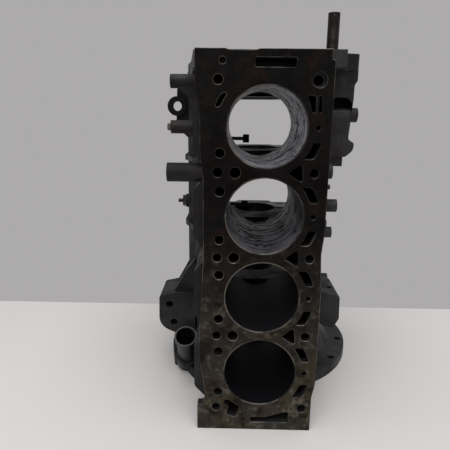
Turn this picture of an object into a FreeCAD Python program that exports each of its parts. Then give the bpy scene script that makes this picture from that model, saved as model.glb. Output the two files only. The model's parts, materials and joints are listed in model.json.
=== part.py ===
"""Bare four-cylinder diesel engine block, stood on its flywheel end.

Frame: the origin is on the crankshaft axis in the flywheel face, +Z runs along the crankshaft
axis to the timing end, the deck (cylinder head face) looks towards -Y and the sump side is +Y.
All lengths are millimetres.
"""
import FreeCAD, Part
import math
import os

import Sketcher

SIZES = {
    # cylinders and deck
    "bore_diameter": 85.0,
    "bore_pitch": 96.5,
    "first_bore": 79.0,
    "block_length": 447.0,
    "deck_height": 235.0,
    "deck_thickness": 12.0,
    "barrel_length": 155.0,
    "bore_chamfer": 0.8,
    # deck outline: half widths on the two sides of the bore line
    "deck_left_timing": 76.5,
    "deck_left_upper": 71.5,
    "deck_left_middle": 68.0,
    "deck_left_lower": 73.0,
    "deck_left_waist": 66.5,
    "deck_left_foot": 75.5,
    "deck_right": 67.5,
    "deck_right_waist": 64.0,
    "foot_height": 34.0,
    "timing_corner": 37.0,
    # water jacket
    "cylinder_wall": 8.0,
    "jacket_gap": 9.5,
    "jacket_wall": 6.0,
    "jacket_floor": 110.0,
    "coolant_rail_floor": 127.0,
    "jacket_web_half": 41.0,
    "left_bulge_offset": 14.0,
    "left_bulge_top": 223.0,
    "bulge_foot": 45.0,
    "bulge_flat": 27.0,
    "bulge_rounding": 12.0,
    "swell_foot": 30.0,
    "swell_flat": 18.0,
    "jacket_foot": 44.0,
    "jacket_flat": 24.0,
    "barrel_zone_end": 78.0,
    # head bolts and the openings round them
    "head_bolt_offset": 52.3,
    "head_bolt_hole": 10.4,
    "head_bolt_depth": 95.0,
    "head_bolt_column": 21.0,
    "head_dowel_hole": 15.6,
    "head_dowel_depth": 9.0,
    "small_dowel_hole": 7.2,
    "web_port": 12.4,
    "web_port_offset": 33.4,
    "side_port": 10.6,
    "side_port_offset": 50.0,
    "side_port_rise": 27.3,
    "steam_hole": 5.6,
    "steam_hole_offset": 53.5,
    "slot_near": 15.5,
    "slot_far": 33.0,
    "slot_inner": 51.5,
    "slot_outer": 60.5,
    "slot_corner": 1.6,
    "end_slot_depth": 40.0,
    # crankcase
    "crankcase_half_width": 100.0,
    "crankcase_wall": 7.0,
    "crankcase_roof": 84.0,
    "shoulder_start": 122.0,
    "shoulder_end": 66.0,
    "shoulder_radius": 16.0,
    "bulkhead_thickness": 22.0,
    "bulkhead_edge": 30.0,
    "thin_bulkhead": 9.0,
    "rail_half_width": 112.0,
    "rail_depth": 58.0,
    "rail_thickness": 13.0,
    "rail_bolt_hole": 6.8,
    "rail_bolt_depth": 18.0,
    "rail_bolt_end": 21.0,
    "rib_thickness": 7.0,
    # main bearings
    "main_bore": 64.0,
    "register_half_width": 55.8,
    "register_depth": 8.0,
    "cap_height": 55.0,
    "cap_thickness": 24.0,
    "cap_side_clearance": 0.1,
    "cap_back_gap": 4.5,
    "cap_bolt_offset": 43.0,
    "cap_bolt_diameter": 12.0,
    "cap_bolt_clearance": 1.0,
    "thread_clearance": 0.1,
    "cap_bolt_head": 18.0,
    "cap_bolt_head_height": 11.0,
    "cap_bolt_seat": 42.0,
    "cap_bolt_reach": 48.0,
    "seal_boss": 124.0,
    "end_recess": 218.0,
    "end_recess_depth": 17.0,
    "skirt_wall": 9.0,
    # gearbox flange
    "flange_radius": 156.0,
    "flange_thickness": 14.0,
    "flange_left": 131.0,
    "flange_rim": 22.0,
    "skirt_root_radius": 104.0,
    "skirt_height": 52.0,
    "flange_bolt_radius": 146.0,
    "flange_bolt_hole": 10.8,
    # timing end
    "timing_plate": 18.0,
    "timing_right": 113.0,
    "timing_left": 92.0,
    "guide_pin_diameter": 12.5,
    "guide_pin_stand": 39.0,
    "guide_pin_depth": 15.0,
    # oil gallery
    "gallery_across": 73.0,
    "gallery_back": 116.0,
    "gallery_boss": 24.0,
    "gallery_bore": 12.0,
    "gallery_plug_diameter": 18.0,
    "gallery_plug_length": 11.0,
    # core plugs
    "core_hole": 38.0,
    "core_back": 172.0,
    "core_plug_seat": 68.0,
    "core_plug_sheet": 4.0,
    "core_plug_clearance": 0.05,
    # piston cooling jets
    "jet_below_bore": 21.0,
    "jet_pipe": 5.0,
    "jet_nozzle": 4.0,
    "jet_head": 9.0,
    "jet_reach": 18.0,
    "jet_bolt_diameter": 8.0,
    "jet_bolt_head": 13.0,
    "jet_seat_across": 64.0,
    "jet_seat": 62.0,
    "jet_eye": 15.0,
    "jet_eye_height": 8.0,
    "jet_aim": 65.0,
    "jet_bolt_depth": 14.0,
    # small fasteners of the side walls
    "sensor_reach": 107.0,
    "sensor_shank": 6.0,
    "sensor_hexagon": 8.0,
    "sensor_head": 4.0,
    "side_boss_reach": 105.0,
    "stud_diameter": 6.0,
    "stud_stand": 12.0,
    "nut_hexagon": 17.0,
    "nut_height": 5.0,
    "bracket_reach": 69.0,
    # filler tube
    "filler_across": 100.0,
    "filler_back": 96.0,
    "filler_rise": 15.0,
    "filler_tilt": 34.0,
    "filler_length": 70.0,
    "filler_mouth": 32.0,
    "filler_across_tube": 28.0,
    "filler_rim": 7.0,
    "filler_wall": 2.5,
    "filler_socket": 37.0,
    "filler_socket_length": 16.0,
    "filler_engagement": 10.0,
}


class Size:
    """A length that carries both its value and its spreadsheet formula."""

    def __init__(self, value, formula):
        self.value = float(value)
        self.formula = formula

    @staticmethod
    def of(thing):
        if isinstance(thing, Size):
            return thing
        return Size(thing, f"({thing})")

    def joined(self, sign, other, value):
        return Size(value, f"({self.formula} {sign} {other.formula})")

    def __add__(self, other):
        other = Size.of(other)
        return self.joined("+", other, self.value + other.value)

    def __sub__(self, other):
        other = Size.of(other)
        return self.joined("-", other, self.value - other.value)

    def __mul__(self, other):
        other = Size.of(other)
        return self.joined("*", other, self.value * other.value)

    def __truediv__(self, other):
        other = Size.of(other)
        return self.joined("/", other, self.value / other.value)

    def __radd__(self, other):
        return Size.of(other) + self

    def __rsub__(self, other):
        return Size.of(other) - self

    def __rmul__(self, other):
        return Size.of(other) * self

    def __neg__(self):
        return Size(-self.value, f"(-{self.formula})")


def root(length):
    return Size(math.sqrt(length.value), f"sqrt({length.formula})")


class Table:
    """The driving sizes: one spreadsheet cell and one attribute each."""

    def __init__(self, document, sizes):
        self.sheet = document.addObject("Spreadsheet::Sheet", "Dims")
        for row, (name, value) in enumerate(sizes.items(), start=1):
            self.sheet.set(f"A{row}", name)
            self.sheet.set(f"B{row}", str(value))
            self.sheet.setAlias(f"B{row}", name)
            setattr(self, name, Size(value, f"Dims.{name}"))


doc = FreeCAD.newDocument("EngineBlock")
D = Table(doc, SIZES)
doc.recompute()

AXES = {"X": FreeCAD.Vector(1, 0, 0), "Y": FreeCAD.Vector(0, 1, 0), "Z": FreeCAD.Vector(0, 0, 1)}
# Turns a +Z cylinder onto an axis.
ROD_TURN = {
    "X": FreeCAD.Rotation(FreeCAD.Vector(0, 1, 0), 90),
    "Y": FreeCAD.Rotation(FreeCAD.Vector(1, 0, 0), -90),
    "Z": FreeCAD.Rotation(),
}
# Turns a sketch so that its plane is square to an axis: (X, Y), (X, Z) or (Y, Z).
SKETCH_TURN = {
    "X": FreeCAD.Rotation(FreeCAD.Vector(1, 1, 1), 120),
    "Y": FreeCAD.Rotation(FreeCAD.Vector(1, 0, 0), 90),
    "Z": FreeCAD.Rotation(),
}


# ---------------------------------------------------------------- small tools


def bind(thing, **properties):
    """Ties properties of an object to spreadsheet formulas."""
    for name, length in properties.items():
        thing.setExpression(name.replace("__", "."), Size.of(length).formula)
    return thing


def place(thing, x=0, y=0, z=0, turn=None):
    if turn is not None:
        thing.Placement = FreeCAD.Placement(FreeCAD.Vector(), turn)
    bind(thing, Placement__Base__x=x, Placement__Base__y=y, Placement__Base__z=z)
    return thing


def point_on(axis, across, start):
    """The place of a feature that starts at `start` on an axis, `across` it in the other two."""
    u, v = across
    return {"X": (start, u, v), "Y": (u, start, v), "Z": (u, v, start)}[axis]


def box(name, x, y, z):
    block = doc.addObject("Part::Box", name)
    bind(block, Length=Size.of(x[1]) - x[0], Width=Size.of(y[1]) - y[0], Height=Size.of(z[1]) - z[0])
    return place(block, x[0], y[0], z[0])


def rod(name, axis, across, span, diameter):
    cylinder = doc.addObject("Part::Cylinder", name)
    bind(cylinder, Radius=Size.of(diameter) / 2, Height=Size.of(span[1]) - span[0])
    return place(cylinder, *point_on(axis, across, span[0]), turn=ROD_TURN[axis])


def taper(name, axis, across, span, first, last):
    cone = doc.addObject("Part::Cone", name)
    bind(cone, Radius1=Size.of(first) / 2, Radius2=Size.of(last) / 2, Height=Size.of(span[1]) - span[0])
    return place(cone, *point_on(axis, across, span[0]), turn=ROD_TURN[axis])


def tie_point(sketch, geometry, position, x, y):
    for kind, length in (("DistanceX", Size.of(x)), ("DistanceY", Size.of(y))):
        index = sketch.addConstraint(Sketcher.Constraint(kind, geometry, position, length.value))
        sketch.setExpression(f"Constraints[{index}]", length.formula)


def draw_outline(sketch, corners):
    """Closed outline through (x, y) or (x, y, rounding) corners, tied to the sizes."""
    points = [FreeCAD.Vector(Size.of(c[0]).value, Size.of(c[1]).value, 0) for c in corners]
    rounds = [Size.of(c[2]) if len(c) > 2 else None for c in corners]
    count = len(corners)
    ends = []
    for i, corner in enumerate(points):
        if rounds[i] is None:
            ends.append((corner, corner, None))
            continue
        before = (points[i - 1] - corner).normalize()
        after = (points[(i + 1) % count] - corner).normalize()
        half = before.getAngle(after) / 2
        reach = rounds[i].value / math.tan(half)
        middle = corner + (before + after).normalize() * (rounds[i].value / math.sin(half))
        ends.append((corner + before * reach, corner + after * reach, middle))
    lines = []
    for i in range(count):
        line = Part.LineSegment(ends[i][1], ends[(i + 1) % count][0])
        lines.append(sketch.addGeometry(line, False))
    for i, corner in enumerate(corners):
        into, out = lines[i - 1], lines[i]
        if rounds[i] is None:
            sketch.addConstraint(Sketcher.Constraint("Coincident", into, 2, out, 1))
            tie_point(sketch, out, 1, corner[0], corner[1])
            continue
        round_corner(sketch, into, out, corner, ends[i], rounds[i])


def round_corner(sketch, into, out, corner, ends, rounding):
    first, last, middle = ends
    turn_left = (middle - first).cross(last - middle).z < 0
    start, stop = (first, last) if turn_left else (last, first)
    angles = [math.atan2(p.y - middle.y, p.x - middle.x) for p in (start, stop)]
    circle = Part.Circle(middle, FreeCAD.Vector(0, 0, 1), rounding.value)
    arc = sketch.addGeometry(Part.ArcOfCircle(circle, angles[0], angles[1]), False)
    near, far = (1, 2) if turn_left else (2, 1)
    sketch.addConstraint(Sketcher.Constraint("Tangent", into, 2, arc, near))
    sketch.addConstraint(Sketcher.Constraint("Tangent", out, 1, arc, far))
    index = sketch.addConstraint(Sketcher.Constraint("Radius", arc, rounding.value))
    sketch.setExpression(f"Constraints[{index}]", rounding.formula)
    tip = FreeCAD.Vector(Size.of(corner[0]).value, Size.of(corner[1]).value, 0)
    mark = sketch.addGeometry(Part.Point(tip), True)
    sketch.addConstraint(Sketcher.Constraint("PointOnObject", mark, 1, into))
    sketch.addConstraint(Sketcher.Constraint("PointOnObject", mark, 1, out))
    tie_point(sketch, mark, 1, corner[0], corner[1])


def prism(name, axis, corners, span):
    """A drawn outline drawn out along an axis."""
    sketch = doc.addObject("Sketcher::SketchObject", name + "_outline")
    place(sketch, *point_on(axis, (0, 0), span[0]), turn=SKETCH_TURN[axis])
    draw_outline(sketch, corners)
    solid = doc.addObject("Part::Extrusion", name)
    solid.Base = sketch
    solid.DirMode = "Custom"
    solid.Dir = AXES[axis]
    solid.Solid = True
    return bind(solid, LengthFwd=Size.of(span[1]) - span[0])


def fuse(name, shapes):
    joined = doc.addObject("Part::MultiFuse", name)
    joined.Shapes = shapes
    return joined


def gather(name, shapes):
    group = doc.addObject("Part::Compound", name)
    group.Links = shapes
    return group


def common(name, shapes):
    overlap = doc.addObject("Part::MultiCommon", name)
    overlap.Shapes = shapes
    return overlap


def cut(name, base, tool):
    rest = doc.addObject("Part::Cut", name)
    rest.Base = base
    rest.Tool = tool
    return rest


def carve(base, tools):
    """Takes the tools out of the base one after the other."""
    for tool in tools:
        base = cut(f"less_{tool.Label}", base, tool)
    return base


# ---------------------------------------------------------------- places worked out from the sizes

TOP = D.block_length
DECK = -D.deck_height
BORES = [D.first_bore + D.bore_pitch * i for i in range(4)]
WEBS = [D.first_bore - D.bore_pitch / 2 + D.bore_pitch * i for i in range(5)]
CYLINDER = D.bore_diameter / 2 + D.cylinder_wall
JACKET = CYLINDER + D.jacket_gap
CASING = JACKET + D.jacket_wall
HALF_BULKHEAD = D.bulkhead_thickness / 2
GUIDE_PIN = (D.deck_right_waist + 4.5, DECK + 30)
SENSOR = (DECK + 40, BORES[3] - 1.5)
SIDE_STUD = (-55, BORES[1] + 79.5)
BRACKET_STUD = (DECK + 22, BORES[2] + 31)
RAIL_BOLTS = 7
OVER = 1.0


# ---------------------------------------------------------------- outside of the casting


def deck_slab():
    """The head face: its edges swell round the cylinders and step out at the foot."""
    left = [
        (-D.deck_left_timing, TOP),
        (-D.deck_left_timing, TOP - D.timing_corner, 12),
        (-D.deck_left_upper, BORES[3] + 12, 20),
        (-D.deck_left_upper, BORES[3] - 24, 30),
        (-D.deck_left_middle, BORES[2] + 42, 40),
        (-D.deck_left_middle, BORES[1] + 44, 40),
        (-D.deck_left_lower, BORES[0] + 46, 30),
        (-D.deck_left_lower, BORES[0] + 20, 20),
        (-D.deck_left_waist, BORES[0] - 22, 18),
        (-D.deck_left_waist, D.foot_height, 5),
        (-D.deck_left_foot, D.foot_height, 2),
        (-D.deck_left_foot, 0),
    ]
    right = [
        (D.deck_right_waist, 0),
        (D.deck_right_waist, D.foot_height + 12, 15),
        (D.deck_right, BORES[0] - 14, 15),
        (D.deck_right, BORES[1] + 8, 40),
        (D.deck_right_waist + 1, BORES[2] - 44, 40),
        (D.deck_right, BORES[2] - 18, 40),
        (D.deck_right, TOP - 10, 3),
        (D.deck_right_waist, TOP - 10, 1),
        (D.deck_right_waist, TOP),
    ]
    return prism("deck_slab", "Y", left + right, (DECK, DECK + D.deck_thickness))


def swelling(side, valley, crest, foot, flat, rounding=None):
    """Corners of a wall that stands out at each cylinder, from the flywheel end to the timing end."""
    corners = []
    for bore in BORES:
        near, far = (side * crest, bore - flat), (side * crest, bore + flat)
        if rounding is not None:
            near, far = near + (rounding,), far + (rounding,)
        corners += [(side * valley, bore - foot), near, far, (side * valley, bore + foot)]
    return corners


def casing_walls():
    """Jacket walls that stand out at the four cylinders, with a fuller left side for the coolant rail."""
    half = D.head_bolt_offset + D.head_bolt_column / 2
    crest = CASING + D.left_bulge_offset
    right = swelling(1, half, CASING, D.swell_foot, D.swell_flat)
    core = [(-half, 0), (half, 0), *right, (half, TOP), (-half, TOP)]
    left = swelling(-1, half, crest, D.bulge_foot, D.bulge_flat, D.bulge_rounding)
    bulge = [(-half + 10, BORES[0] - D.bulge_foot), *left, (-half + 10, BORES[3] + D.bulge_foot)]
    return [
        prism("casing_core", "Y", core, (DECK + 2, -D.barrel_zone_end)),
        prism("left_bulge", "Y", bulge[::-1], (-D.left_bulge_top, -D.barrel_zone_end)),
    ]


def crankcase_shell():
    """Outside of the crankcase: shoulders that flare from the casing to straight side walls."""
    half = D.crankcase_half_width
    neck = D.head_bolt_offset + D.head_bolt_column / 2
    corners = [
        (-neck + 4, -D.shoulder_start - 20),
        (-neck - 2, -D.shoulder_start, D.shoulder_radius),
        (-half, -D.shoulder_end, D.shoulder_radius),
        (-half, D.rail_depth),
        (half, D.rail_depth),
        (half, -D.shoulder_end, D.shoulder_radius),
        (neck + 2, -D.shoulder_start, D.shoulder_radius),
        (neck - 4, -D.shoulder_start - 20),
    ]
    return prism("crankcase_shell", "Z", corners, (0, TOP))


def sump_rail():
    span = (D.rail_depth - D.rail_thickness, D.rail_depth)
    return box("sump_rail", (-D.rail_half_width, D.rail_half_width), span, (0, TOP))


def wall_ribs():
    """Stiffening ribs on both crankcase walls, one in line with each bearing wall."""
    ribs = []
    half = D.crankcase_half_width
    for i, web in enumerate(WEBS[1:4], start=2):
        for side, sign in (("left", -1), ("right", 1)):
            corners = [
                (sign * 58, -D.shoulder_start - 34),
                (sign * 72, -D.shoulder_start - 28, 6),
                (sign * (half + 6), -D.shoulder_end + 6, 12),
                (sign * (half + 6), D.rail_depth - 2),
                (sign * (half - 4), D.rail_depth - 2),
                (sign * (half - 4), -D.shoulder_end),
                (sign * 58, -D.shoulder_start + 4),
            ]
            span = (web - D.rib_thickness / 2, web + D.rib_thickness / 2)
            ribs.append(prism(f"{side}_rib_{i}", "Z", corners, span))
    return ribs


def gearbox_flange():
    """Round gearbox flange with a sloping skirt, trimmed on the deck side and the left."""
    radius = D.flange_radius
    rim = radius - D.flange_rim
    disc = rod("flange_disc", "Z", (0, 0), (0, D.flange_thickness), radius * 2)
    span = (D.flange_thickness - OVER, D.skirt_height)
    skirt = taper("flange_skirt", "Z", (0, 0), span, rim * 2, D.skirt_root_radius * 2)
    plate = fuse("flange_plate", [disc, skirt])
    left = D.flange_left
    corners = [
        (-D.deck_left_foot, DECK + 60),
        (-D.deck_left_foot, DECK + 86),
        (-left + 30, DECK + 128, 4),
        (-left + 25, DECK + 142, 6),
        (-left + 9, DECK + 144, 6),
        (-left, DECK + 194, 30),
        (-left, D.rail_depth, 8),
        (radius + 2, D.rail_depth, 8),
        (radius + 2, DECK + 60),
    ]
    trim = prism("flange_trim", "Z", corners, (0, D.skirt_height + OVER))
    return common("gearbox_flange", [plate, trim])


def timing_end():
    """The timing end's face: it reaches out to the right for the coolant pump."""
    corners = [
        (-D.deck_left_timing, DECK + 6),
        (-D.deck_left_timing - 3, DECK + 18, 6),
        (-D.timing_left, DECK + 128, 20),
        (-D.crankcase_half_width, -D.shoulder_end, 16),
        (-D.crankcase_half_width, D.rail_depth - 4),
        (D.crankcase_half_width, D.rail_depth - 4),
        (D.crankcase_half_width, -D.shoulder_end - 4, 14),
        (D.timing_right - 8, DECK + 112, 8),
        (D.timing_right, DECK + 92, 6),
        (D.timing_right - 12, DECK + 40, 8),
        (D.timing_right - 32, DECK + 34, 5),
        (D.timing_right - 33, DECK + 4, 3),
        (D.deck_right_waist - 4, DECK + 4),
    ]
    return prism("timing_plate", "Z", corners, (TOP - D.timing_plate, TOP))


def pump_housing():
    """Coolant pump housing beside the first two cylinders at the timing end."""
    front = DECK + 40
    back = DECK + 112
    crown = TOP - D.timing_plate
    wall = CASING - 4
    corners = [
        (wall, crown + OVER),
        (D.timing_right - 12, crown + OVER),
        (D.timing_right - 12, TOP - 28, 3),
        (D.timing_right - 15, TOP - 33, 3),
        (D.timing_right - 15, TOP - 48, 5),
        (D.timing_right - 18, TOP - 92, 5),
        (D.timing_right - 11, TOP - 96, 3),
        (D.timing_right - 11, TOP - 104, 10),
        (D.timing_right - 20, TOP - 112, 8),
        (78, TOP - 112, 4),
        (72, TOP - 126, 14),
        (wall, TOP - 134),
    ]
    shell = prism("pump_shell", "Y", corners, (front, back))
    mouth = [
        (71, TOP - 65),
        (97, TOP - 65),
        (97, TOP - 46, 10),
        (71, TOP - 46, 10),
    ]
    arch = prism("pump_arch", "Y", mouth, (front - OVER, front + 34))
    foot = box("pump_foot", (wall, D.timing_right - 22), (front + 4, back - 20), (TOP - 123, TOP - 106))
    across = (front + 10, TOP - 65)
    spigot = rod("pump_spigot", "X", across, (wall, D.timing_right - 8), 16)
    return [cut("pump_case", shell, arch), foot, spigot]


def side_boss(name, side, back, height, reach, across):
    """Round boss that stands out sideways from the casing."""
    start = CASING - 4
    span = (start, reach) if side > 0 else (-reach, -start)
    return rod(name, "X", (DECK + back, height), span, across)


def left_bosses():
    """Bosses of the left side, from the timing end down."""
    bosses = [
        side_boss("timing_boss", -1, 27, TOP - 31, 105, 15),
        side_boss("sensor_boss", -1, 40, BORES[3] - 1.5, D.sensor_reach, 15),
        side_boss("mount_boss", -1, 24, WEBS[3] - 3, 110, 21.5),
    ]
    wall = -CASING + 4
    web = [
        (wall, TOP - 60),
        (-86, TOP - 48, 4),
        (-98, TOP - 37),
        (wall, TOP - 33),
    ]
    bosses.append(prism("timing_boss_web", "Y", web, (DECK + 22, DECK + 31)))
    shelf = [
        (wall, BORES[3] - 12),
        (-86, BORES[3] - 12, 3),
        (-95, BORES[3] - 1),
        (wall, BORES[3] + 8),
    ]
    bosses.append(prism("sensor_boss_web", "Y", shelf, (DECK + 34, DECK + 48)))
    return bosses


def eye_lug():
    """Slim rib at crankcase level with a drilled eye that looks towards the deck."""
    back = -42
    rib = [
        (-94, BORES[3] + 70),
        (-119, BORES[3] + 50, 10),
        (-121, BORES[3] - 6, 12),
        (-94, BORES[3] - 30),
    ]
    plate = prism("eye_rib", "Y", rib, (back + 4, back + 10))
    eye = rod("eye_ring", "Y", (-119, BORES[3] + 23.5), (back, back + 14), 28)
    stud_boss = rod("side_stud_boss", "X", SIDE_STUD, (-D.side_boss_reach, -D.crankcase_half_width + 6), 20)
    return [plate, eye, stud_boss]


def left_mount():
    """Engine mounting boss low on the left, tied to the wall by a sloping gusset."""
    block = [
        (-88, BORES[0] + 48),
        (-110, BORES[0] + 50, 6),
        (-141, BORES[0] + 43, 4),
        (-142, BORES[0] - 4, 22),
        (-116, BORES[0] - 16, 8),
        (-88, BORES[0] - 16),
    ]
    gusset = [
        (-88, BORES[1] + 2),
        (-101, BORES[1] - 14),
        (-122, BORES[0] + 44),
        (-88, BORES[0] + 44),
    ]
    return [
        prism("left_mount_block", "Y", block, (DECK + 128, DECK + 192)),
        prism("left_mount_gusset", "Y", gusset, (DECK + 136, DECK + 150)),
        prism("left_mount_gusset_back", "Y", gusset, (DECK + 176, DECK + 190)),
    ]


def right_mount():
    """Engine mounting boss low on the right."""
    wall = CASING - 4
    block = [
        (wall, BORES[0] + 74),
        (78, BORES[0] + 78, 4),
        (107, BORES[0] + 72, 4),
        (108, BORES[0] + 40, 5),
        (101, BORES[0] + 26, 4),
        (86, BORES[0] + 30, 12),
        (wall, BORES[0] + 52),
    ]
    return [prism("right_mount_block", "Y", block, (DECK + 70, DECK + 134))]


def right_bosses():
    """Small bosses of the right side, from the timing end down."""
    wall = CASING - 4
    pad = [
        (wall, WEBS[3] + 10),
        (74, WEBS[3] + 4, 8),
        (75, BORES[2] + 2, 8),
        (72, WEBS[2] + 14, 8),
        (wall, WEBS[2] + 6),
    ]
    bracket = [
        (wall, BORES[2] + 50),
        (67, BORES[2] + 46),
        (D.bracket_reach, BORES[2] + 36, 2),
        (D.bracket_reach, BORES[2] + 26, 2),
        (67, BORES[2] + 20),
        (wall, BORES[2] + 16),
    ]
    return [
        prism("right_pad", "Y", pad, (DECK + 36, DECK + 92)),
        prism("stud_bracket", "Y", bracket, (DECK + 14, DECK + 30)),
        side_boss("right_web_boss", 1, 18, WEBS[3] + 1, 74, 17),
        side_boss("filter_boss_upper", 1, 20, BORES[2] + 10, 82, 14.5),
        side_boss("filter_boss_lower", 1, 20, WEBS[2] + 27, 78, 12.5),
        side_boss("lower_lobe", 1, 12, BORES[0] + 115, 75, 18),
    ]


def filler_frame(thing, along):
    """Places a turned piece on the filler tube's slanting axis, `along` from its root."""
    tilt = math.radians(D.filler_tilt.value)
    thing.Placement = FreeCAD.Placement(
        FreeCAD.Vector(), FreeCAD.Rotation(FreeCAD.Vector(1, 0, 0), D.filler_tilt.value)
    )
    thing.setExpression("Placement.Rotation.Angle", D.filler_tilt.formula)
    lean = Size(math.sin(tilt), f"sin({D.filler_tilt.formula} * 1 deg)")
    climb = Size(math.cos(tilt), f"cos({D.filler_tilt.formula} * 1 deg)")
    along = Size.of(along)
    place(thing, -D.filler_across, -D.filler_back - along * lean, D.filler_rise + along * climb)
    return thing


def filler_rod(name, along, length, diameter):
    cylinder = doc.addObject("Part::Cylinder", name)
    bind(cylinder, Radius=Size.of(diameter) / 2, Height=length)
    return filler_frame(cylinder, along)


def filler_socket():
    """Round socket on the flange that holds the filler tube."""
    length = D.filler_socket_length
    return filler_rod("filler_socket", -5, length + 5, D.filler_socket)


def gallery_boss():
    """Long round swelling of the main oil gallery along the left side."""
    across = (-D.gallery_across, -D.gallery_back)
    return rod("gallery_boss", "Z", across, (0, TOP - 3), D.gallery_boss)


# ---------------------------------------------------------------- spaces inside the casting


def cylinder_bores():
    end = DECK + D.barrel_length + 8
    wide = D.bore_diameter + D.bore_chamfer * 2
    bores = []
    lips = []
    for i, bore in enumerate(BORES):
        bores.append(rod(f"bore_{i + 1}", "Y", (0, bore), (DECK - OVER, end), D.bore_diameter))
        edge = (DECK, DECK + D.bore_chamfer)
        lips.append(taper(f"bore_lip_{i + 1}", "Y", (0, bore), edge, wide, D.bore_diameter))
    return [gather("bores", bores), gather("bore_lips", lips)]


def water_jacket():
    """Coolant space round the cylinders, open to the deck only through its ports."""
    under_deck = DECK + D.deck_thickness
    floor = -D.jacket_floor
    half = D.jacket_web_half
    right = swelling(1, half, JACKET, D.jacket_foot, D.jacket_flat)
    left = swelling(-1, half, JACKET, D.jacket_foot, D.jacket_flat)
    low = [(-JACKET / 2, BORES[0] - JACKET), (JACKET / 2, BORES[0] - JACKET)]
    high = [(JACKET / 2, BORES[3] + JACKET), (-JACKET / 2, BORES[3] + JACKET)]
    rooms = [prism("jacket_room_deep", "Y", low + right + high + left[::-1], (under_deck, floor))]
    crest = JACKET + D.left_bulge_offset
    for i, bore in enumerate(BORES):
        rail = [
            (-half, bore - D.jacket_foot + 4),
            (-half, bore + D.jacket_foot - 4),
            (-crest, bore + D.jacket_flat - 2),
            (-crest, bore - D.jacket_flat + 2),
        ]
        top = -D.left_bulge_top + D.jacket_wall + 1
        rooms.append(prism(f"coolant_rail_{i + 1}", "Y", rail, (top, -D.coolant_rail_floor)))
    deep = (under_deck - OVER, floor + OVER)
    solid = [rod(f"barrel_{i + 1}", "Y", (0, bore), deep, CYLINDER * 2) for i, bore in enumerate(BORES)]
    for i, web in enumerate(WEBS):
        for side, sign in (("left", -1), ("right", 1)):
            across = (sign * D.head_bolt_offset, web)
            solid.append(rod(f"{side}_column_{i + 1}", "Y", across, deep, D.head_bolt_column))
    for i, bore in enumerate(BORES[:3]):
        span = (-crest - OVER, -D.core_plug_seat + 2)
        solid.append(rod(f"core_collar_{i + 1}", "X", (-D.core_back, bore), span, D.core_hole + 10))
    return cut("water_jacket", fuse("jacket_room", rooms), fuse("jacket_islands", solid))


def crank_bays():
    """The four crank bays, the cut below the bearing walls and the bearing line."""
    inner = D.crankcase_half_width - D.crankcase_wall
    below = D.rail_depth + OVER
    roof = -D.crankcase_roof
    corners = [
        (-46, roof, 10),
        (-inner, -D.shoulder_end + 12, 24),
        (-inner, below),
        (inner, below),
        (inner, -D.shoulder_end + 12, 24),
        (46, roof, 10),
    ]
    rooms = []
    for i in range(4):
        span = (WEBS[i] + HALF_BULKHEAD, WEBS[i + 1] - HALF_BULKHEAD)
        rooms.append(prism(f"crank_bay_{i + 1}", "Z", corners, span))
    rooms = [gather("crank_rooms", rooms), gather("bearing_wall_hollows", bearing_wall_hollows())]
    seat = D.register_half_width
    step = D.register_depth
    inside = [
        (-inner, below),
        (-inner, D.bulkhead_edge, 8),
        (-seat - 8, step, 6),
        (-seat, step),
        (-seat, 0),
        (seat, 0),
        (seat, step),
        (seat + 8, step, 6),
        (inner, D.bulkhead_edge, 8),
        (inner, below),
    ]
    span = (WEBS[0] + HALF_BULKHEAD - OVER, WEBS[4] - HALF_BULKHEAD + OVER)
    rooms.append(prism("under_bulkheads", "Z", inside, span))
    rooms.append(box("cap_opening", (-seat, seat), (0, below), (-OVER, TOP + OVER)))
    rooms.append(rod("main_bearing_line", "Z", (0, 0), (-OVER, TOP + OVER), D.main_bore))
    return rooms


def bearing_wall_hollows():
    """Hollows that thin the bearing walls beside their saddles."""
    hollows = []
    inner = D.crankcase_half_width - D.crankcase_wall
    saddle = D.register_half_width + D.register_depth + 3
    half = D.thin_bulkhead / 2
    for side, sign in (("left", -1), ("right", 1)):
        corners = [
            (sign * saddle, -D.shoulder_end + 16),
            (sign * (inner - 8), -D.shoulder_end + 22, 4),
            (sign * inner, -D.shoulder_end + 32),
            (sign * inner, D.bulkhead_edge),
            (sign * saddle, D.bulkhead_edge - 12),
        ]
        for i in range(4):
            span = (WEBS[i] + half, WEBS[i + 1] - half)
            hollows.append(prism(f"{side}_hollow_{i + 1}", "Z", corners, span))
    return hollows


def flywheel_recess():
    """Ring-shaped recess in the gearbox face, between the seal boss and the flange rim."""
    depth = D.end_recess_depth
    pocket = rod("flywheel_pocket", "Z", (0, 0), (-OVER, depth), D.end_recess)
    boss = rod("flywheel_seal_boss", "Z", (0, 0), (-2 * OVER, depth + OVER), D.seal_boss)
    return cut("flywheel_recess", pocket, boss)


def skirt_hollow():
    """Hollow under the sloping skirt, outside the crankcase's right wall."""
    rim = D.flange_radius - D.flange_rim
    wide = (rim - D.skirt_wall) * 2
    narrow = (D.skirt_root_radius - D.skirt_wall) * 2
    cone = taper("skirt_core", "Z", (0, 0), (-OVER, D.skirt_height - D.skirt_wall), wide, narrow)
    clear = D.crankcase_half_width + OVER
    side = box("skirt_side", (clear, D.flange_radius), (-96, D.rail_depth - D.rail_thickness), (-OVER, D.skirt_height))
    return common("skirt_hollow", [cone, side])


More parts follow.
